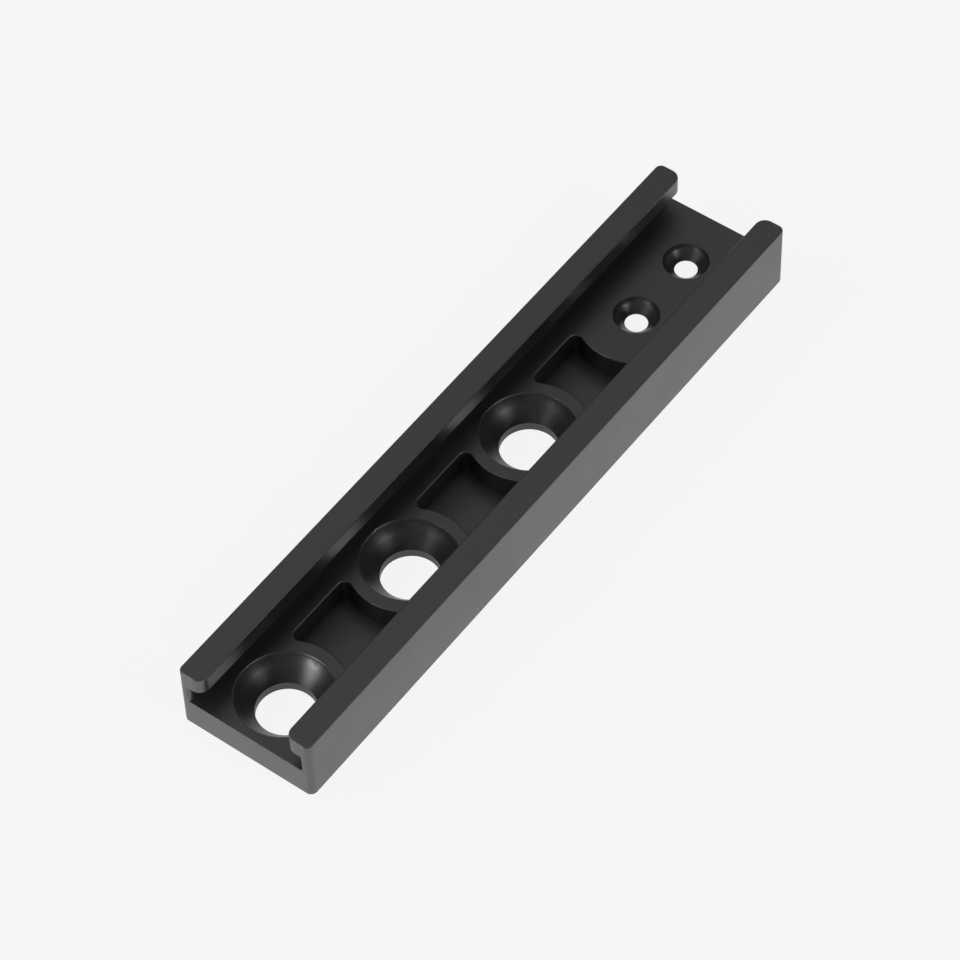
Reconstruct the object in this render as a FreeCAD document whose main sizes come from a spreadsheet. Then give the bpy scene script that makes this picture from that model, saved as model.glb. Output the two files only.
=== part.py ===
import FreeCAD, Part
import math
import os

import Sketcher

# A camera top plate: one bar of aluminium, machined to a channel whose side walls carry inward
# lips, so that its inside is a T-slot along the bar. Countersunk screw holes go through its floor.
# X runs along the bar and Z up. The origin is the middle of the underside.

SIZES = {
    # the bar
    "plate_length": 100.85,
    "plate_width": 20.0,
    "plate_height": 10.0,
    "corner_radius": 0.9,
    # the channel
    "floor_thickness": 4.45,
    "wall_thickness": 1.65,
    "slot_height": 3.05,
    "lip_reach": 2.05,
    "lip_end_radius": 1.5,
    "slot_end_radius": 0.7,
    # the row of large countersunk screw holes, which fills the length that the small pair leaves
    "screw_margin": 7.7,
    "row_gap": 23.75,
    "screw_diameter": 7.75,
    "screw_head_diameter": 12.4,
    "screw_head_angle": 82.0,
    "screw_head_sink": 0.5,
    # the pair of small countersunk screw holes
    "small_margin": 8.1,
    "small_spacing": 11.3,
    "small_diameter": 3.1,
    "small_head_diameter": 6.2,
    "small_head_angle": 90.0,
    "small_head_sink": 0.05,
    "small_land": 0.1,
    # the obround recess under the small holes
    "recess_width": 9.0,
    # the lightening pockets in the floor
    "boss_radius": 8.15,
    "pocket_width": 9.65,
    "pocket_depth": 3.5,
    "pocket_corner_radius": 0.9,
    # the breaks on the edges
    "edge_break": 0.25,
    "underside_break": 0.2,
    "floor_end_break": 0.12,
    "rim_break": 0.2,
}

SCREW_COUNT = 3
SMALL_COUNT = 2
CUT_PAST = 1.0
NEAR = 1e-4

doc = FreeCAD.newDocument("camera_top_plate")
sheet = doc.addObject("Spreadsheet::Sheet", "sizes")
for row, (alias, value) in enumerate(SIZES.items(), start=1):
    sheet.set("A%d" % row, alias)
    sheet.set("B%d" % row, str(value))
    sheet.setAlias("B%d" % row, alias)
doc.recompute()


def size(alias):
    """A driving dimension as the sheet holds it."""
    return float(sheet.get(alias))


def origin_feature(body, role):
    return next(f for f in body.Origin.OriginFeatures if f.Role == role)


def sketch_on(body, name, role):
    """A sketch flat on one of the body's own origin planes."""
    sketch = body.newObject("Sketcher::SketchObject", name)
    sketch.AttachmentSupport = [(origin_feature(body, role), "")]
    sketch.MapMode = "FlatFace"
    return sketch


def bind(sketch, constraint, name, formula):
    """Add a dimension to a sketch and tie it to the sheet."""
    index = sketch.addConstraint(constraint)
    sketch.renameConstraint(index, name)
    sketch.setExpression("Constraints." + name, formula)


def bind_place(sketch, name, piece, point, along, place, formula):
    """Hold a point of a sketch at a signed distance from the sketch's origin."""
    kind = "DistanceX" if along == "x" else "DistanceY"
    ends = (-1, 1, piece, point)
    if place < 0:
        ends = (piece, point, -1, 1)
        formula = "-(" + formula + ")"
    bind(sketch, Sketcher.Constraint(kind, *ends, abs(place)), name, formula)


def join_ends(sketch, pieces, manner="Coincident"):
    """Join each piece of a closed outline to the next one, at the ends that lie together."""
    for piece, following in zip(pieces, pieces[1:] + pieces[:1]):
        gaps = {}
        for a in (1, 2):
            for b in (1, 2):
                gap = sketch.getPoint(piece, a) - sketch.getPoint(following, b)
                gaps[gap.Length] = (a, b)
        a, b = gaps[min(gaps)]
        sketch.addConstraint(Sketcher.Constraint(manner, piece, a, following, b))


def edges_where(shape, chosen):
    return ["Edge%d" % n for n, edge in enumerate(shape.Edges, start=1) if chosen(edge)]


def is_at(value, target):
    return abs(value - target) < NEAR


def upright(edge, low, high):
    """Whether an edge stands along Z from one height to the other."""
    box = edge.BoundBox
    return box.XLength < NEAR and box.YLength < NEAR and is_at(box.ZMin, low) and is_at(box.ZMax, high)


def level(edge, height):
    """Whether an edge lies flat at a height."""
    return is_at(edge.BoundBox.ZMin, height) and is_at(edge.BoundBox.ZMax, height)


def dress(body, kind, name, size_property, alias, chosen):
    """Round or bevel the chosen edges of the body as it stands."""
    doc.recompute()
    base = body.Tip
    names = edges_where(base.Shape, chosen)
    if not names:
        raise RuntimeError(name + " finds no edge")
    feature = body.newObject(kind, name)
    feature.Base = (base, names)
    feature.setExpression(size_property, "sizes." + alias)
    body.Tip = feature
    doc.recompute()


def fillet(body, name, alias, chosen):
    dress(body, "PartDesign::Fillet", name, "Radius", alias, chosen)


def chamfer(body, name, alias, chosen):
    dress(body, "PartDesign::Chamfer", name, "Size", alias, chosen)


def must_cut(before, feature):
    """Stop if a cut took nothing away."""
    if feature.Shape.Volume > before - NEAR:
        raise RuntimeError(feature.Name + " cuts nothing")


# Places that several features share, each as a number and as the sheet's formula for it
HALF_LENGTH = size("plate_length") / 2
HALF_WIDTH = size("plate_width") / 2
TOP = size("plate_height")
FLOOR = size("floor_thickness")
LIP_UNDERSIDE = FLOOR + size("slot_height")
LIP_UNDERSIDE_FORMULA = "sizes.floor_thickness + sizes.slot_height"
SLOT_SIDE = HALF_WIDTH - size("wall_thickness")
SLOT_SIDE_FORMULA = "(sizes.plate_width / 2 - sizes.wall_thickness)"
THROAT_SIDE = SLOT_SIDE - size("lip_reach")
THROAT_SIDE_FORMULA = "(sizes.plate_width / 2 - sizes.wall_thickness - sizes.lip_reach)"
FIRST_SCREW = size("screw_margin") - HALF_LENGTH
FIRST_SCREW_FORMULA = "(sizes.screw_margin - sizes.plate_length / 2)"
LAST_SMALL = HALF_LENGTH - size("small_margin")
LAST_SMALL_FORMULA = "(sizes.plate_length / 2 - sizes.small_margin)"
FIRST_SMALL = LAST_SMALL - size("small_spacing") * (SMALL_COUNT - 1)
FIRST_SMALL_FORMULA = "(%s - sizes.small_spacing * %d)" % (LAST_SMALL_FORMULA, SMALL_COUNT - 1)
SCREW_PITCH = (FIRST_SMALL - size("row_gap") - FIRST_SCREW) / (SCREW_COUNT - 1)
SCREW_PITCH_FORMULA = "((%s - sizes.row_gap - %s) / %d)" % (
    FIRST_SMALL_FORMULA, FIRST_SCREW_FORMULA, SCREW_COUNT - 1)


def add_section(body):
    """The channel's section: the underside, a wall, its lip, the slot, and the other wall."""
    lines = [
        ("underside", "y", 0.0, None),
        ("left_face", "x", HALF_WIDTH, "sizes.plate_width / 2"),
        ("left_top", "y", TOP, "sizes.plate_height"),
        ("left_throat", "x", THROAT_SIDE, THROAT_SIDE_FORMULA),
        ("left_lip", "y", LIP_UNDERSIDE, LIP_UNDERSIDE_FORMULA),
        ("left_slot", "x", SLOT_SIDE, SLOT_SIDE_FORMULA),
        ("floor", "y", FLOOR, "sizes.floor_thickness"),
        ("right_slot", "x", -SLOT_SIDE, "-" + SLOT_SIDE_FORMULA),
        ("right_lip", "y", LIP_UNDERSIDE, LIP_UNDERSIDE_FORMULA),
        ("right_throat", "x", -THROAT_SIDE, "-" + THROAT_SIDE_FORMULA),
        ("right_top", "y", TOP, "sizes.plate_height"),
        ("right_face", "x", -HALF_WIDTH, "-sizes.plate_width / 2"),
    ]
    sketch = sketch_on(body, "channel_section", "YZ_Plane")
    starts = []
    for index, (name, keeps, place, formula) in enumerate(lines):
        crossing = lines[index - 1][2]
        starts.append(FreeCAD.Vector(place, crossing, 0) if keeps == "x" else FreeCAD.Vector(crossing, place, 0))
    for start, end in zip(starts, starts[1:] + starts[:1]):
        sketch.addGeometry(Part.LineSegment(start, end), False)
    for index, (name, keeps, place, formula) in enumerate(lines):
        sketch.addConstraint(Sketcher.Constraint("Vertical" if keeps == "x" else "Horizontal", index))
        if formula is None:
            sketch.addConstraint(Sketcher.Constraint("PointOnObject", index, 1, -1))
        else:
            bind_place(sketch, name, index, 1, keeps, place, formula)
    join_ends(sketch, list(range(len(lines))))
    return sketch


def add_pocket_outline(sketch, number, left, right):
    """A pocket between two round bosses: straight sides, and ends that follow the bosses.

    Each boss is its centre's place along the bar and the formula for it.
    """
    half = size("pocket_width") / 2
    radius = size("boss_radius")
    inset = math.sqrt(radius ** 2 - half ** 2)
    left_x = left[0] + inset
    right_x = right[0] - inset
    near_side, right_end, far_side, left_end = range(sketch.GeometryCount, sketch.GeometryCount + 4)
    corners = [FreeCAD.Vector(x, y, 0) for x, y in
               ((left_x, -half), (right_x, -half), (right_x, half), (left_x, half))]
    right_middle = FreeCAD.Vector(right[0] - radius, 0, 0)
    left_middle = FreeCAD.Vector(left[0] + radius, 0, 0)
    sketch.addGeometry(Part.LineSegment(corners[0], corners[1]), False)
    sketch.addGeometry(Part.Arc(corners[1], right_middle, corners[2]), False)
    sketch.addGeometry(Part.LineSegment(corners[2], corners[3]), False)
    sketch.addGeometry(Part.Arc(corners[3], left_middle, corners[0]), False)
    label = "pocket_%d_" % number
    for side, name, sign in ((near_side, "near_side", -1), (far_side, "far_side", 1)):
        sketch.addConstraint(Sketcher.Constraint("Horizontal", side))
        bind_place(sketch, label + name, side, 1, "y", sign * half, "%d * sizes.pocket_width / 2" % sign)
    for end, name, boss in ((right_end, "right_end", right), (left_end, "left_end", left)):
        bind(sketch, Sketcher.Constraint("Radius", end, radius), label + name + "_radius", "sizes.boss_radius")
        sketch.addConstraint(Sketcher.Constraint("PointOnObject", end, 3, -1))
        bind_place(sketch, label + name + "_centre", end, 3, "x", *boss)
    join_ends(sketch, [near_side, right_end, far_side, left_end])


def add_screw_row(body, kind, first, spacing_formula, count):
    """A row of countersunk holes: the first is turned about its own axis, then repeated."""
    place, place_formula = first
    bore = size(kind + "_diameter") / 2
    head = size(kind + "_head_diameter") / 2
    half_angle = math.radians(size(kind + "_head_angle") / 2)
    cone_top = FLOOR - size(kind + "_head_sink")
    cone_bottom = cone_top - (head - bore) / math.tan(half_angle)
    bore_formula = "sizes.%s_diameter / 2" % kind
    head_formula = "sizes.%s_head_diameter / 2" % kind
    cone_top_formula = "sizes.floor_thickness - sizes.%s_head_sink" % kind
    cone_bottom_formula = cone_top_formula + (
        " - (%s - %s) / tan(sizes.%s_head_angle / 2)" % (head_formula, bore_formula, kind))
    past_formula = "sizes.floor_thickness + %g" % CUT_PAST
    profile = [
        (0.0, None, -CUT_PAST, "-%g" % CUT_PAST),
        (bore, bore_formula, -CUT_PAST, "-%g" % CUT_PAST),
        (bore, bore_formula, cone_bottom, cone_bottom_formula),
        (head, head_formula, cone_top, cone_top_formula),
        (head, head_formula, FLOOR + CUT_PAST, past_formula),
        (0.0, None, FLOOR + CUT_PAST, past_formula),
    ]
    sketch = sketch_on(body, kind + "_profile", "XZ_Plane")
    sketch.setExpression("AttachmentOffset.Base.x", place_formula)
    points = [FreeCAD.Vector(radius, height, 0) for radius, _, height, _ in profile]
    for start, end in zip(points, points[1:] + points[:1]):
        sketch.addGeometry(Part.LineSegment(start, end), False)
    for index, (radius, radius_formula, height, height_formula) in enumerate(profile):
        if radius_formula is None:
            sketch.addConstraint(Sketcher.Constraint("PointOnObject", index, 1, -2))
        else:
            bind_place(sketch, "radius_%d" % index, index, 1, "x", radius, radius_formula)
        bind_place(sketch, "height_%d" % index, index, 1, "y", height, height_formula)
    join_ends(sketch, list(range(len(profile))))
    doc.recompute()
    before = body.Tip.Shape.Volume
    hole = body.newObject("PartDesign::Groove", kind + "_hole")
    hole.Profile = sketch
    hole.ReferenceAxis = (sketch, ["V_Axis"])
    hole.Angle = 360.0
    body.Tip = hole
    doc.recompute()
    must_cut(before, hole)
    row = body.newObject("PartDesign::LinearPattern", kind + "_row")
    row.Originals = [hole]
    row.Direction = (origin_feature(body, "X_Axis"), [""])
    row.Occurrences = count
    row.setExpression("Length", "%s * %d" % (spacing_formula, count - 1))
    body.Tip = row
    doc.recompute()
    must_cut(hole.Shape.Volume, row)


def add_recess_outline(sketch):
    """An obround about both small holes."""
    radius = size("recess_width") / 2
    ends = (FIRST_SMALL, LAST_SMALL)
    formulas = (FIRST_SMALL_FORMULA, LAST_SMALL_FORMULA)
    near_side, right_end, far_side, left_end = range(4)
    corners = [FreeCAD.Vector(x, y, 0) for x, y in
               ((ends[0], -radius), (ends[1], -radius), (ends[1], radius), (ends[0], radius))]
    right_middle = FreeCAD.Vector(ends[1] + radius, 0, 0)
    left_middle = FreeCAD.Vector(ends[0] - radius, 0, 0)
    sketch.addGeometry(Part.LineSegment(corners[0], corners[1]), False)
    sketch.addGeometry(Part.Arc(corners[1], right_middle, corners[2]), False)
    sketch.addGeometry(Part.LineSegment(corners[2], corners[3]), False)
    sketch.addGeometry(Part.Arc(corners[3], left_middle, corners[0]), False)
    join_ends(sketch, [near_side, right_end, far_side, left_end], "Tangent")
    for end, name, place, formula in ((left_end, "left_end", ends[0], formulas[0]),
                                      (right_end, "right_end", ends[1], formulas[1])):
        sketch.addConstraint(Sketcher.Constraint("PointOnObject", end, 3, -1))
        bind_place(sketch, name + "_centre", end, 3, "x", place, formula)
        bind(sketch, Sketcher.Constraint("Radius", end, radius), name + "_radius", "sizes.recess_width / 2")


def add_pocket(body, name, sketch, depth_formula, reverse):
    """A pocket cut from the sketch's plane, into the bar."""
    doc.recompute()
    before = body.Tip.Shape.Volume
    pocket = body.newObject("PartDesign::Pocket", name)
    pocket.Profile = sketch
    pocket.Reversed = reverse
    pocket.setExpression("Length", depth_formula)
    body.Tip = pocket
    doc.recompute()
    must_cut(before, pocket)


top_plate = doc.addObject("PartDesign::Body", "top_plate")
top_plate.Label = "top_plate"

# The bar is the section drawn out along X, equally to both sides of the origin
bar = top_plate.newObject("PartDesign::Pad", "bar")
bar.Profile = add_section(top_plate)
bar.SideType = "Symmetric"
bar.setExpression("Length", "sizes.plate_length")
top_plate.Tip = bar

# In plan the bar's corners are rounded, and so are both ends of each lip and of the slot's sides
fillet(top_plate, "outer_corners", "corner_radius", lambda edge: upright(edge, 0.0, TOP))
fillet(top_plate, "lip_ends", "lip_end_radius", lambda edge: upright(edge, LIP_UNDERSIDE, TOP))
fillet(top_plate, "slot_ends", "slot_end_radius", lambda edge: upright(edge, FLOOR, LIP_UNDERSIDE))

# Pockets lighten the floor and leave a round boss about each screw hole that they end at
bosses = []
for turn in range(SCREW_COUNT):
    bosses.append((FIRST_SCREW + turn * SCREW_PITCH,
                   "%s + %d * %s" % (FIRST_SCREW_FORMULA, turn, SCREW_PITCH_FORMULA)))
bosses.append((FIRST_SMALL, FIRST_SMALL_FORMULA))
pocket_sketch = sketch_on(top_plate, "floor_pocket_outlines", "XY_Plane")
pocket_sketch.setExpression("AttachmentOffset.Base.z", "sizes.floor_thickness")
for number, (left, right) in enumerate(zip(bosses, bosses[1:]), start=1):
    add_pocket_outline(pocket_sketch, number, left, right)
add_pocket(top_plate, "floor_pockets", pocket_sketch, "sizes.pocket_depth", False)
fillet(top_plate, "pocket_corners", "pocket_corner_radius",
       lambda edge: upright(edge, FLOOR - size("pocket_depth"), FLOOR))

# The underside is hollowed below the small holes, up to the narrow end of their countersinks
recess_sketch = sketch_on(top_plate, "underside_recess_outline", "XY_Plane")
add_recess_outline(recess_sketch)
RECESS_FORMULA = ("sizes.floor_thickness - sizes.small_head_sink - sizes.small_land"
                  " - (sizes.small_head_diameter - sizes.small_diameter) / 2 / tan(sizes.small_head_angle / 2)")
add_pocket(top_plate, "underside_recess", recess_sketch, RECESS_FORMULA, True)

add_screw_row(top_plate, "screw", (FIRST_SCREW, FIRST_SCREW_FORMULA), SCREW_PITCH_FORMULA, SCREW_COUNT)
add_screw_row(top_plate, "small", (FIRST_SMALL, FIRST_SMALL_FORMULA), "sizes.small_spacing", SMALL_COUNT)



def reach_across(edge):
    """How far an edge gets from the bar's middle plane."""
    return max(abs(edge.BoundBox.YMin), abs(edge.BoundBox.YMax))


def is_head_rim(edge, kind):
    """Whether an edge is the rim of a countersink in the floor."""
    radius = size(kind + "_head_diameter") / 2
    return level(edge, FLOOR) and isinstance(edge.Curve, Part.Circle) and is_at(edge.Curve.Radius, radius)


def is_pocket_rim(edge):
    inside = reach_across(edge) < size("pocket_width") / 2 + NEAR
    return level(edge, FLOOR) and inside and not is_head_rim(edge, "small")


def is_floor_end(edge):
    return level(edge, FLOOR) and is_at(abs(edge.BoundBox.Center.x), HALF_LENGTH)


# Every edge that a hand would meet is broken, and so are the rims of the pockets and large holes
fillet(top_plate, "top_edges", "edge_break", lambda edge: level(edge, TOP))
chamfer(top_plate, "underside_edges", "underside_break",
        lambda edge: level(edge, 0.0) and reach_across(edge) > SLOT_SIDE)
fillet(top_plate, "floor_end_edges", "floor_end_break", is_floor_end)
fillet(top_plate, "pocket_rims", "rim_break", is_pocket_rim)
chamfer(top_plate, "screw_rims", "rim_break", lambda edge: is_head_rim(edge, "screw"))

doc.recompute()
for item in doc.Objects:
    if "Invalid" in item.State or "Error" in item.State:
        raise RuntimeError("%s failed: %s" % (item.Name, item.State))
parts = [item for item in doc.Objects if item.TypeId == "PartDesign::Body"]
for item in parts:
    if item.Shape.isNull() or not item.Shape.isValid():
        raise RuntimeError(item.Label + " has no sound shape")

os.makedirs("parts", exist_ok=True)
for item in parts:
    item.Shape.exportStep("parts/%s.step" % item.Label)
    print(item.Label, "solids", len(item.Shape.Solids), "volume", round(item.Shape.Volume, 2))
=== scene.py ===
import math

import bmesh
import bpy
from mathutils import Euler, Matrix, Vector


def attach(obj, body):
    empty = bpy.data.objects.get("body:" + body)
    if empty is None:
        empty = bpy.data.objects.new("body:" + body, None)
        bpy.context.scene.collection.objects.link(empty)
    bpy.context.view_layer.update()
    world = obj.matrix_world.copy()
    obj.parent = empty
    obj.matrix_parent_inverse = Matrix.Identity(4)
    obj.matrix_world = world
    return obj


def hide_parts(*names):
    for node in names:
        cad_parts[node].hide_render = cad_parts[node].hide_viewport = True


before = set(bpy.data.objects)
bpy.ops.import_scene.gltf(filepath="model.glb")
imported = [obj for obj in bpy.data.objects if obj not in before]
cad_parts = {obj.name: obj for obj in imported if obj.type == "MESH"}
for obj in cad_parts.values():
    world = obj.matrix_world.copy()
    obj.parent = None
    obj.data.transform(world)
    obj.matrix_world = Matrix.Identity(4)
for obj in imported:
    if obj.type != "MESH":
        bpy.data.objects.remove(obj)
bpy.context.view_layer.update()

# The whole object: one bar of aluminium, milled to a channel with inward lips, then pocketed and
# drilled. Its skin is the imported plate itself, with the loose triangles joined and flat faces made
# whole, so that round walls, cones and broken edges catch the light smoothly.
JOIN_WITHIN = 1e-6
FLAT_WITHIN = math.radians(0.2)
plate_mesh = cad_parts["top_plate"].data.copy()
plate_mesh.name = "plate_skin"
joined = bmesh.new()
joined.from_mesh(plate_mesh)
bmesh.ops.remove_doubles(joined, verts=joined.verts, dist=JOIN_WITHIN)
bmesh.ops.dissolve_limit(
    joined, angle_limit=FLAT_WITHIN, verts=joined.verts, edges=joined.edges,
    use_dissolve_boundaries=False)
joined.to_mesh(plate_mesh)
joined.free()
plate = bpy.data.objects.new("plate_skin", plate_mesh)
bpy.context.scene.collection.objects.link(plate)

# The holes come in two rows on the middle line: three wide ones, then two small ones. A tool turned
# each to size after the plate was milled, so its cone and bore are smoother than the blasted faces.
# The tree finds those walls by the rows' own pitch and marks them for the finish.
FIRST_WIDE_HOLE = -0.042725
WIDE_PITCH = 0.025
WIDE_STEPS = 2.0
WIDE_HEAD_RADIUS = 0.00622
FIRST_SMALL_HOLE = 0.031025
SMALL_PITCH = 0.0113
SMALL_STEPS = 1.0
SMALL_HEAD_RADIUS = 0.00312
# A wall's normal rises by this much, give or take the range, so level faces are left out.
WALL_RISE = 0.4
WALL_RISE_RANGE = 0.5


def add_math(tree, operation, *values):
    """Adds one step of arithmetic on sockets and plain numbers."""
    step = tree.nodes.new("ShaderNodeMath")
    step.operation = operation
    for place, value in enumerate(values):
        if isinstance(value, (int, float)):
            step.inputs[place].default_value = value
        else:
            tree.links.new(value, step.inputs[place])
    return step.outputs[0]


def add_hole_distance(tree, position, first_hole, pitch, last_step):
    """Adds the distance from the axis of the nearest hole in a row along X."""
    parts = tree.nodes.new("ShaderNodeSeparateXYZ")
    tree.links.new(position, parts.inputs[0])
    along = add_math(tree, "SUBTRACT", parts.outputs["X"], first_hole)
    nearest = add_math(tree, "ROUND", add_math(tree, "DIVIDE", along, pitch))
    nearest = add_math(tree, "MAXIMUM", nearest, 0.0)
    nearest = add_math(tree, "MINIMUM", nearest, last_step)
    across = add_math(tree, "MULTIPLY", parts.outputs["Y"], parts.outputs["Y"])
    off_axis = add_math(tree, "SUBTRACT", along, add_math(tree, "MULTIPLY", nearest, pitch))
    off_axis = add_math(tree, "MULTIPLY", off_axis, off_axis)
    return add_math(tree, "SQRT", add_math(tree, "ADD", across, off_axis))


def add_sockets(tree, direction, sockets):
    """Names a tree's inputs or outputs, each with its kind and, for an input, its first value."""
    for name, kind, value in sockets:
        socket = tree.interface.new_socket(
            name=name, in_out=direction, socket_type="NodeSocket" + kind)
        if value is not None:
            socket.default_value = value


rows = bpy.data.node_groups.new("turned_hole_rows", "GeometryNodeTree")
add_sockets(rows, "INPUT", (
    ("Geometry", "Geometry", None),
    ("First Wide Hole", "Float", FIRST_WIDE_HOLE), ("Wide Pitch", "Float", WIDE_PITCH),
    ("Wide Steps", "Float", WIDE_STEPS), ("Wide Head Radius", "Float", WIDE_HEAD_RADIUS),
    ("First Small Hole", "Float", FIRST_SMALL_HOLE), ("Small Pitch", "Float", SMALL_PITCH),
    ("Small Steps", "Float", SMALL_STEPS), ("Small Head Radius", "Float", SMALL_HEAD_RADIUS),
    ("Finish", "Material", None)))
add_sockets(rows, "OUTPUT", (("Geometry", "Geometry", None),))
given = rows.nodes.new("NodeGroupInput")
made = rows.nodes.new("NodeGroupOutput")
position = rows.nodes.new("GeometryNodeInputPosition")
facing = rows.nodes.new("GeometryNodeInputNormal")
rise = rows.nodes.new("ShaderNodeSeparateXYZ")
rows.links.new(facing.outputs[0], rise.inputs[0])
within = []
for row in ("Wide", "Small"):
    distance = add_hole_distance(
        rows, position.outputs[0], given.outputs["First %s Hole" % row],
        given.outputs["%s Pitch" % row], given.outputs["%s Steps" % row])
    within.append(add_math(rows, "LESS_THAN", distance, given.outputs["%s Head Radius" % row]))
walled = add_math(rows, "COMPARE", rise.outputs["Z"], WALL_RISE, WALL_RISE_RANGE)
turned = add_math(rows, "MULTIPLY", add_math(rows, "MAXIMUM", *within), walled)
mark = rows.nodes.new("GeometryNodeStoreNamedAttribute")
mark.data_type = "FLOAT"
mark.domain = "FACE"
mark.inputs["Name"].default_value = "turned"
smooth = rows.nodes.new("GeometryNodeSetShadeSmooth")
realized = rows.nodes.new("GeometryNodeRealizeInstances")
finished = rows.nodes.new("GeometryNodeSetMaterial")
rows.links.new(turned, mark.inputs["Value"])
rows.links.new(given.outputs["Finish"], finished.inputs["Material"])
for source, target in (
        (given, mark), (mark, smooth), (smooth, realized), (realized, finished), (finished, made)):
    rows.links.new(source.outputs["Geometry"], target.inputs["Geometry"])

# Bead blasting leaves fine pits all over, and a dye bath never takes quite evenly. Both are noise:
# the pits a tenth of a millimetre wide, the dye's clouds a few millimetres.


def new_group(name, inputs, outputs):
    """Opens a shader group with named sockets, and gives it with its two end nodes."""
    group = bpy.data.node_groups.new(name, "ShaderNodeTree")
    add_sockets(group, "INPUT", inputs)
    add_sockets(group, "OUTPUT", outputs)
    return group, group.nodes.new("NodeGroupInput"), group.nodes.new("NodeGroupOutput")


def add_scaled(tree, position, size):
    """Adds a position counted in cells of one size."""
    scaled = tree.nodes.new("ShaderNodeVectorMath")
    scaled.operation = "SCALE"
    tree.links.new(position, scaled.inputs[0])
    tree.links.new(add_math(tree, "DIVIDE", 1.0, size), scaled.inputs["Scale"])
    return scaled.outputs[0]


def add_noise(tree, position, detail):
    """Adds a cloud of noise with cells one unit wide."""
    noise = tree.nodes.new("ShaderNodeTexNoise")
    noise.inputs["Scale"].default_value = 1.0
    noise.inputs["Detail"].default_value = detail
    tree.links.new(position, noise.inputs["Vector"])
    return noise.outputs["Fac"]


grain, given, made = new_group(
    "blasted_grain",
    (("Position", "Vector", None), ("Pit Size", "Float", 0.0001), ("Cloud Size", "Float", 0.004)),
    (("Pits", "Float", None), ("Clouds", "Float", None)))
for output, size, detail in (("Pits", "Pit Size", 2.0), ("Clouds", "Cloud Size", 3.0)):
    in_cells = add_scaled(grain, given.outputs["Position"], given.outputs[size])
    grain.links.new(add_noise(grain, in_cells, detail), made.inputs[output])

# The countersinking tool leaves rings round each hole's axis, a feed step apart. The height rises
# and falls once in each step.
rings, given, made = new_group(
    "turning_rings",
    (("Position", "Vector", None), ("First Hole", "Float", 0.0), ("Pitch", "Float", 0.01),
     ("Steps", "Float", 1.0), ("Feed", "Float", 0.0001)),
    (("Height", "Float", None),))
distance = add_hole_distance(
    rings, given.outputs["Position"], given.outputs["First Hole"], given.outputs["Pitch"],
    given.outputs["Steps"])
turns = add_math(rings, "DIVIDE", distance, given.outputs["Feed"])
rings.links.new(add_math(rings, "PINGPONG", turns, 0.5), made.inputs["Height"])

# The end mill's passes run along the bar. Blasting has softened them to faint streaks, much longer
# than they are wide.
passes, given, made = new_group(
    "milling_passes",
    (("Position", "Vector", None), ("Streak Width", "Float", 0.0003),
     ("Streak Length", "Float", 0.02)),
    (("Streaks", "Float", None),))
parts = passes.nodes.new("ShaderNodeSeparateXYZ")
passes.links.new(given.outputs["Position"], parts.inputs[0])
drawn = passes.nodes.new("ShaderNodeCombineXYZ")
for axis, size in (("X", "Streak Length"), ("Y", "Streak Width"), ("Z", "Streak Width")):
    in_streaks = add_math(passes, "DIVIDE", parts.outputs[axis], given.outputs[size])
    passes.links.new(in_streaks, drawn.inputs[axis])
passes.links.new(add_noise(passes, drawn.outputs[0], detail=1.0), made.inputs["Streaks"])

# Handling thins the dye on outward edges, in patches. The lighter colour there is partly that wear
# and partly a painted highlight along the edges. Rays sent a short way into the metal find those
# edges: on a face nearly all of them stay inside, and at an edge many come out again.
EDGE_INSIDE = 0.70
FACE_INSIDE = 0.97


def add_ramp(tree, value, low, high, first, last):
    """Adds a smooth change from one value to another as the source goes from low to high."""
    ramp = tree.nodes.new("ShaderNodeMapRange")
    ramp.interpolation_type = "SMOOTHSTEP"
    tree.links.new(value, ramp.inputs["Value"])
    ramp.inputs["From Min"].default_value = low
    ramp.inputs["From Max"].default_value = high
    ramp.inputs["To Min"].default_value = first
    ramp.inputs["To Max"].default_value = last
    return ramp.outputs["Result"]


worn_and_highlit, given, made = new_group(
    "worn_and_highlit_edges",
    (("Position", "Vector", None), ("Reach", "Float", 0.0002), ("Patch Size", "Float", 0.002)),
    (("Mask", "Float", None),))
inner = worn_and_highlit.nodes.new("ShaderNodeAmbientOcclusion")
inner.inside = True
inner.only_local = True
inner.samples = 8
worn_and_highlit.links.new(given.outputs["Reach"], inner.inputs["Distance"])
edge = add_ramp(worn_and_highlit, inner.outputs["AO"], EDGE_INSIDE, FACE_INSIDE, first=1.0, last=0.0)
patches = add_scaled(worn_and_highlit, given.outputs["Position"], given.outputs["Patch Size"])
patches = add_noise(worn_and_highlit, patches, detail=4.0)
patches = add_ramp(worn_and_highlit, patches, low=0.35, high=0.65, first=0.25, last=1.0)
worn_and_highlit.links.new(add_math(worn_and_highlit, "MULTIPLY", edge, patches), made.inputs["Mask"])

# A few pale specks of dust lie on the level faces. The surface is split into cells with a point in
# each, and a small share of those points carries a speck.
dust, given, made = new_group(
    "settled_dust",
    (("Position", "Vector", None), ("Spacing", "Float", 0.001), ("Speck Radius", "Float", 0.06),
     ("Share", "Float", 0.05)),
    (("Mask", "Float", None),))
cells = dust.nodes.new("ShaderNodeTexVoronoi")
cells.inputs["Scale"].default_value = 1.0
in_cells = add_scaled(dust, given.outputs["Position"], given.outputs["Spacing"])
dust.links.new(in_cells, cells.inputs["Vector"])
drawn_lot = dust.nodes.new("ShaderNodeSeparateColor")
dust.links.new(cells.outputs["Color"], drawn_lot.inputs[0])
speck = add_math(dust, "LESS_THAN", cells.outputs["Distance"], given.outputs["Speck Radius"])
chosen = add_math(dust, "LESS_THAN", drawn_lot.outputs["Red"], given.outputs["Share"])
dust.links.new(add_math(dust, "MULTIPLY", speck, chosen), made.inputs["Mask"])

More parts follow.
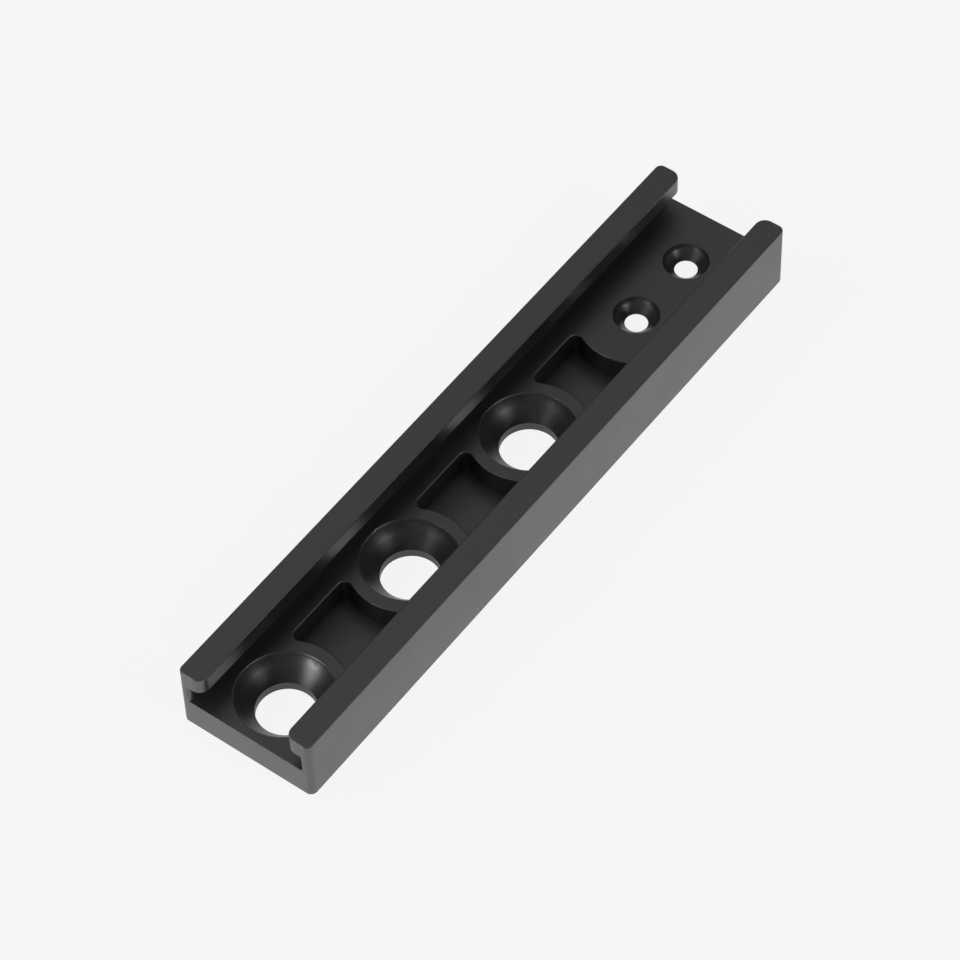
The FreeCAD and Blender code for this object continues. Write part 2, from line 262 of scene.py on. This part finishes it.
# Black anodising: a thin, hard oxide skin dyed black, satin where the metal was blasted and
# glossier on the turned walls. Its gloss is the oxide's own, so the skin isn't a bare metal.
DEEP_BLACK = (0.0160, 0.0150, 0.0146)
EVEN_BLACK = (0.0215, 0.0200, 0.0195)
# The pale edge colour below is partly thinned dye and partly a painted highlight on the edges.
THIN_DYE_AND_HIGHLIGHT = (0.060, 0.056, 0.054)
DUST_GREY = (0.30, 0.29, 0.27)
WEAR_AND_HIGHLIGHT_SHOWN = 0.15
LEVEL_RISE = 0.9
# What each thing adds to the roughness, or takes from it.
SATIN_LOW = 0.385
SATIN_HIGH = 0.415
STREAKS_ADD = 0.04
TURNING_ADDS = -0.04
WEAR_ADDS = 0.24
DUST_ADDS = 0.4
# The relief's depth, and the share of it that the rings and the turned walls' pits have.
RELIEF_DEPTH = 1.2e-6
RING_SHARE = 0.22
TURNED_PIT_SHARE = 0.1
BETWEEN_ROWS = 0.02
OXIDE_IOR = 2.1
OXIDE_TINT = (1.0, 0.965, 0.955, 1)


def place_group(tree, group, **values):
    """Places a group in a tree, with its inputs set to numbers or sockets."""
    node = tree.nodes.new("ShaderNodeGroup")
    node.node_tree = group
    for name, value in values.items():
        socket = node.inputs[name.replace("_", " ")]
        if isinstance(value, (int, float)):
            socket.default_value = value
        else:
            tree.links.new(value, socket)
    return node.outputs


def add_blend(tree, share, first, last):
    """Adds a colour that goes from the first to the last by a share."""
    blend = tree.nodes.new("ShaderNodeMix")
    blend.data_type = "RGBA"
    tree.links.new(share, blend.inputs["Factor"])
    for socket, colour in (("A_Color", first), ("B_Color", last)):
        target = next(one for one in blend.inputs if one.identifier == socket)
        if isinstance(colour, tuple):
            target.default_value = (*colour, 1)
        else:
            tree.links.new(colour, target)
    return next(one for one in blend.outputs if one.identifier == "Result_Color")


def add_share(tree, total, value, share):
    """Adds a share of a value to a total."""
    return add_math(tree, "ADD", total, add_math(tree, "MULTIPLY", value, share))


anodised = bpy.data.materials.new("black_anodised")
anodised.use_nodes = True
skin = anodised.node_tree
skin.nodes.clear()
where = skin.nodes.new("ShaderNodeTexCoord").outputs["Object"]
level = skin.nodes.new("ShaderNodeSeparateXYZ")
normals = skin.nodes.new("ShaderNodeNewGeometry")
skin.links.new(normals.outputs["True Normal"], level.inputs[0])
marked = skin.nodes.new("ShaderNodeAttribute")
marked.attribute_name = "turned"
turned = marked.outputs["Fac"]
blasted = add_math(skin, "SUBTRACT", 1.0, turned)

pitted = place_group(skin, grain, Position=where, Pit_Size=0.00011, Cloud_Size=0.004)
wide_rings = place_group(
    skin, rings, Position=where, First_Hole=FIRST_WIDE_HOLE, Pitch=WIDE_PITCH, Steps=WIDE_STEPS,
    Feed=0.00016)
small_rings = place_group(
    skin, rings, Position=where, First_Hole=FIRST_SMALL_HOLE, Pitch=SMALL_PITCH,
    Steps=SMALL_STEPS, Feed=0.00012)
streaked = place_group(skin, passes, Position=where, Streak_Width=0.0003, Streak_Length=0.02)
edges = place_group(skin, worn_and_highlit, Position=where, Reach=0.00022, Patch_Size=0.0018)
specks = place_group(skin, dust, Position=where, Spacing=0.0011, Speck_Radius=0.055, Share=0.045)
faces_up = add_math(skin, "GREATER_THAN", level.outputs["Z"], LEVEL_RISE)
lying = add_math(skin, "MULTIPLY", specks["Mask"], faces_up)

colour = add_blend(skin, pitted["Clouds"], DEEP_BLACK, EVEN_BLACK)
# The edge mask lightens the colour: partly worn dye, partly a painted highlight along the edges.
thinned_and_highlit = add_math(skin, "MULTIPLY", edges["Mask"], WEAR_AND_HIGHLIGHT_SHOWN)
colour = add_blend(skin, thinned_and_highlit, colour, THIN_DYE_AND_HIGHLIGHT)
colour = add_blend(skin, lying, colour, DUST_GREY)

roughness = add_ramp(
    skin, pitted["Clouds"], low=0.3, high=0.7, first=SATIN_LOW, last=SATIN_HIGH)
swing = add_math(skin, "SUBTRACT", streaked["Streaks"], 0.5)
roughness = add_share(skin, roughness, swing, STREAKS_ADD)
roughness = add_share(skin, roughness, turned, TURNING_ADDS)
roughness = add_share(skin, roughness, edges["Mask"], WEAR_ADDS)
roughness = add_share(skin, roughness, lying, DUST_ADDS)

spread = skin.nodes.new("ShaderNodeSeparateXYZ")
skin.links.new(where, spread.inputs[0])
at_small = add_math(skin, "GREATER_THAN", spread.outputs["X"], BETWEEN_ROWS)
at_wide = add_math(skin, "SUBTRACT", 1.0, at_small)
ringed = add_math(skin, "MULTIPLY", wide_rings["Height"], at_wide)
ringed = add_share(skin, ringed, small_rings["Height"], at_small)
relief = add_math(skin, "MULTIPLY", ringed, add_math(skin, "MULTIPLY", turned, RING_SHARE))
relief = add_share(skin, relief, streaked["Streaks"], blasted)
pit_share = add_math(skin, "ADD", blasted, TURNED_PIT_SHARE)
relief = add_share(skin, relief, pitted["Pits"], pit_share)
raised = skin.nodes.new("ShaderNodeBump")
raised.inputs["Distance"].default_value = RELIEF_DEPTH
skin.links.new(relief, raised.inputs["Height"])

surface = skin.nodes.new("ShaderNodeBsdfPrincipled")
surface.inputs["IOR"].default_value = OXIDE_IOR
surface.inputs["Specular Tint"].default_value = OXIDE_TINT
skin.links.new(colour, surface.inputs["Base Color"])
skin.links.new(roughness, surface.inputs["Roughness"])
skin.links.new(raised.outputs["Normal"], surface.inputs["Normal"])
out = skin.nodes.new("ShaderNodeOutputMaterial")
skin.links.new(surface.outputs["BSDF"], out.inputs["Surface"])

# The finished plate. The rows' tree marks the skin, which then becomes a plain mesh with its
# creases kept sharp. Large faces are shaded flat, and the broken edges take up the turn.
CREASE = math.radians(32)
LARGE_FACE_WEIGHT = 90
marking = plate.modifiers.new("turned_hole_rows", "NODES")
marking.node_group = rows
for socket in rows.interface.items_tree:
    if socket.in_out == "INPUT" and socket.name == "Finish":
        marking[socket.identifier] = anodised
bpy.context.view_layer.update()
marked_plate = plate.evaluated_get(bpy.context.evaluated_depsgraph_get())
plain_mesh = bpy.data.meshes.new_from_object(marked_plate)
plain_mesh.name = "plate_skin"
plate.modifiers.remove(marking)
plate.data = plain_mesh
bpy.data.meshes.remove(plate_mesh)
plain_mesh.set_sharp_from_angle(angle=CREASE)
even = plate.modifiers.new("even_shading", "WEIGHTED_NORMAL")
even.mode = "FACE_AREA"
even.weight = LARGE_FACE_WEIGHT
even.keep_sharp = True
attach(plate, "root")
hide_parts("top_plate")

# The paper that the plate lies on: one pale sheet, so wide that its edges are out of reach, and a
# hair's gap below the underside. Its glow gives the camera an even pale ground and the metal a
# white one to mirror, and still shows the plate's shadow. From below it is clear.
PAPER_REACH = 3.0
PAPER_TOP = -0.00005
PAPER_GREY = (0.80, 0.80, 0.80, 1)
GLOW_SHARE = 0.9
SEEN_GLOW = (0.984, 0.984, 0.984)
OPEN_GLOW = (1.0, 1.0, 1.0)
SHADED_GLOW = (0.55, 0.55, 0.55)
# The plate shades this much of the sheet each way from the middle, apart from spots of light below
# the holes. The light slants along FROM_NEAR, so below a wide hole only the near half is lit.
SHADED_HALF = (0.0500, 0.0095)
FROM_NEAR = (0.79, 0.61)
HALF_BLUR = 0.002
WIDE_SPOT = 0.0039
SMALL_SPOT = 0.0045
paper_mesh = bpy.data.meshes.new("paper")
paper_mesh.from_pydata(
    [(x * PAPER_REACH, y * PAPER_REACH, PAPER_TOP)
     for x, y in ((-1, -1), (1, -1), (1, 1), (-1, 1))], [], [(0, 1, 2, 3)])
paper = bpy.data.objects.new("paper", paper_mesh)
bpy.context.scene.collection.objects.link(paper)
pale = bpy.data.materials.new("pale_paper")
pale.use_nodes = True
ground = pale.node_tree
ground.nodes.clear()

on_sheet = ground.nodes.new("ShaderNodeTexCoord").outputs["Object"]
spot = ground.nodes.new("ShaderNodeSeparateXYZ")
ground.links.new(on_sheet, spot.inputs[0])
from_hole = add_math(ground, "ADD", spot.outputs["X"], WIDE_PITCH / 2 - FIRST_WIDE_HOLE)
from_hole = add_math(ground, "WRAP", from_hole, WIDE_PITCH, 0.0)
from_hole = add_math(ground, "SUBTRACT", from_hole, WIDE_PITCH / 2)
away = add_math(ground, "MULTIPLY", from_hole, FROM_NEAR[0])
away = add_share(ground, away, spot.outputs["Y"], FROM_NEAR[1])
near_half = add_ramp(ground, away, low=-HALF_BLUR, high=HALF_BLUR, first=1.0, last=0.0)
to_wide = add_hole_distance(ground, on_sheet, FIRST_WIDE_HOLE, WIDE_PITCH, WIDE_STEPS)
to_small = add_hole_distance(ground, on_sheet, FIRST_SMALL_HOLE, SMALL_PITCH, SMALL_STEPS)
in_wide = add_math(ground, "LESS_THAN", to_wide, WIDE_SPOT)
in_small = add_math(ground, "LESS_THAN", to_small, SMALL_SPOT)
lit = add_math(ground, "MAXIMUM", add_math(ground, "MULTIPLY", in_wide, near_half), in_small)
shade = add_math(ground, "SUBTRACT", 1.0, lit)
for axis, half in zip("XY", SHADED_HALF):
    off_middle = add_math(ground, "ABSOLUTE", spot.outputs[axis])
    shade = add_math(ground, "MULTIPLY", shade, add_math(ground, "LESS_THAN", off_middle, half))

path = ground.nodes.new("ShaderNodeLightPath")
mirrored = add_blend(ground, shade, OPEN_GLOW, SHADED_GLOW)
glow = ground.nodes.new("ShaderNodeEmission")
glow_colour = add_blend(ground, path.outputs["Is Glossy Ray"], SEEN_GLOW, mirrored)
ground.links.new(glow_colour, glow.inputs["Color"])
seen = add_math(ground, "MAXIMUM", path.outputs["Is Camera Ray"], path.outputs["Is Glossy Ray"])
seen = add_math(ground, "MAXIMUM", seen, path.outputs["Is Transmission Ray"])
sheet = ground.nodes.new("ShaderNodeBsdfDiffuse")
sheet.inputs["Color"].default_value = PAPER_GREY
from_above = ground.nodes.new("ShaderNodeMixShader")
ground.links.new(add_math(ground, "MULTIPLY", seen, GLOW_SHARE), from_above.inputs["Fac"])
ground.links.new(sheet.outputs["BSDF"], from_above.inputs[1])
ground.links.new(glow.outputs["Emission"], from_above.inputs[2])
clear = ground.nodes.new("ShaderNodeBsdfTransparent")
sides = ground.nodes.new("ShaderNodeNewGeometry")
both_sides = ground.nodes.new("ShaderNodeMixShader")
ground.links.new(sides.outputs["Backfacing"], both_sides.inputs["Fac"])
ground.links.new(from_above.outputs[0], both_sides.inputs[1])
ground.links.new(clear.outputs["BSDF"], both_sides.inputs[2])
out = ground.nodes.new("ShaderNodeOutputMaterial")
ground.links.new(both_sides.outputs[0], out.inputs["Surface"])
paper_mesh.materials.append(pale)

# The studio: a dim room and six soft boxes that face the plate. Three stand low off the near end,
# one stands at the side and the last two fill in from across the plate.
ROOM_LIGHT = 0.165
world = bpy.data.worlds.new("studio")
world.use_nodes = True
bpy.context.scene.world = world
room = world.node_tree.nodes["Background"]
room.inputs["Color"].default_value = (1, 1, 1, 1)
room.inputs["Strength"].default_value = ROOM_LIGHT
# Each row gives a direction in degrees, then distance, width and height in metres, then watts.
for name, azimuth, elevation, distance, width, height, power in (
        ("low_end_lamp", 156, 15, 1.2, 0.35, 0.20, 1.0),
        ("low_strip_lamp", 162, 9, 1.2, 0.34, 0.15, 1.5),
        ("wide_end_lamp", 152, 20, 1.2, 0.90, 0.40, 1.4),
        ("side_lamp", -84, 34, 1.2, 0.34, 0.28, 2.2),
        ("left_lamp", 125, 45, 1.3, 0.80, 0.60, 1.8),
        ("high_lamp", 44, 67, 1.5, 1.30, 1.30, 1.15)):
    turn = math.radians(azimuth)
    lift = math.radians(elevation)
    direction = Vector(
        (math.cos(turn) * math.cos(lift), math.sin(turn) * math.cos(lift), math.sin(lift)))
    lamp = bpy.data.lights.new(name, "AREA")
    lamp.shape = "RECTANGLE"
    lamp.size = width
    lamp.size_y = height
    lamp.energy = power
    holder = bpy.data.objects.new(name, lamp)
    holder.location = direction * distance
    holder.rotation_euler = (-direction).to_track_quat("-Z", "Y").to_euler()
    bpy.context.scene.collection.objects.link(holder)

# The camera looks along the photograph's own line of sight. Its lens and place come from a fit of
# the plate's edges to the photograph's.
eye = bpy.data.cameras.new("camera")
eye.sensor_fit = "HORIZONTAL"
eye.sensor_width = 36.0
eye.lens = 151.00225
eye.clip_start = 0.05
camera = bpy.data.objects.new("camera", eye)
camera.location = (-0.24799254, -0.19399684, 0.40221275)
camera.rotation_mode = "XYZ"
camera.rotation_euler = Euler((0.66625994, 0.0253128, -0.933144), "XYZ")
bpy.context.scene.collection.objects.link(camera)
bpy.context.scene.camera = camera
bpy.context.scene.view_settings.view_transform = "Standard"
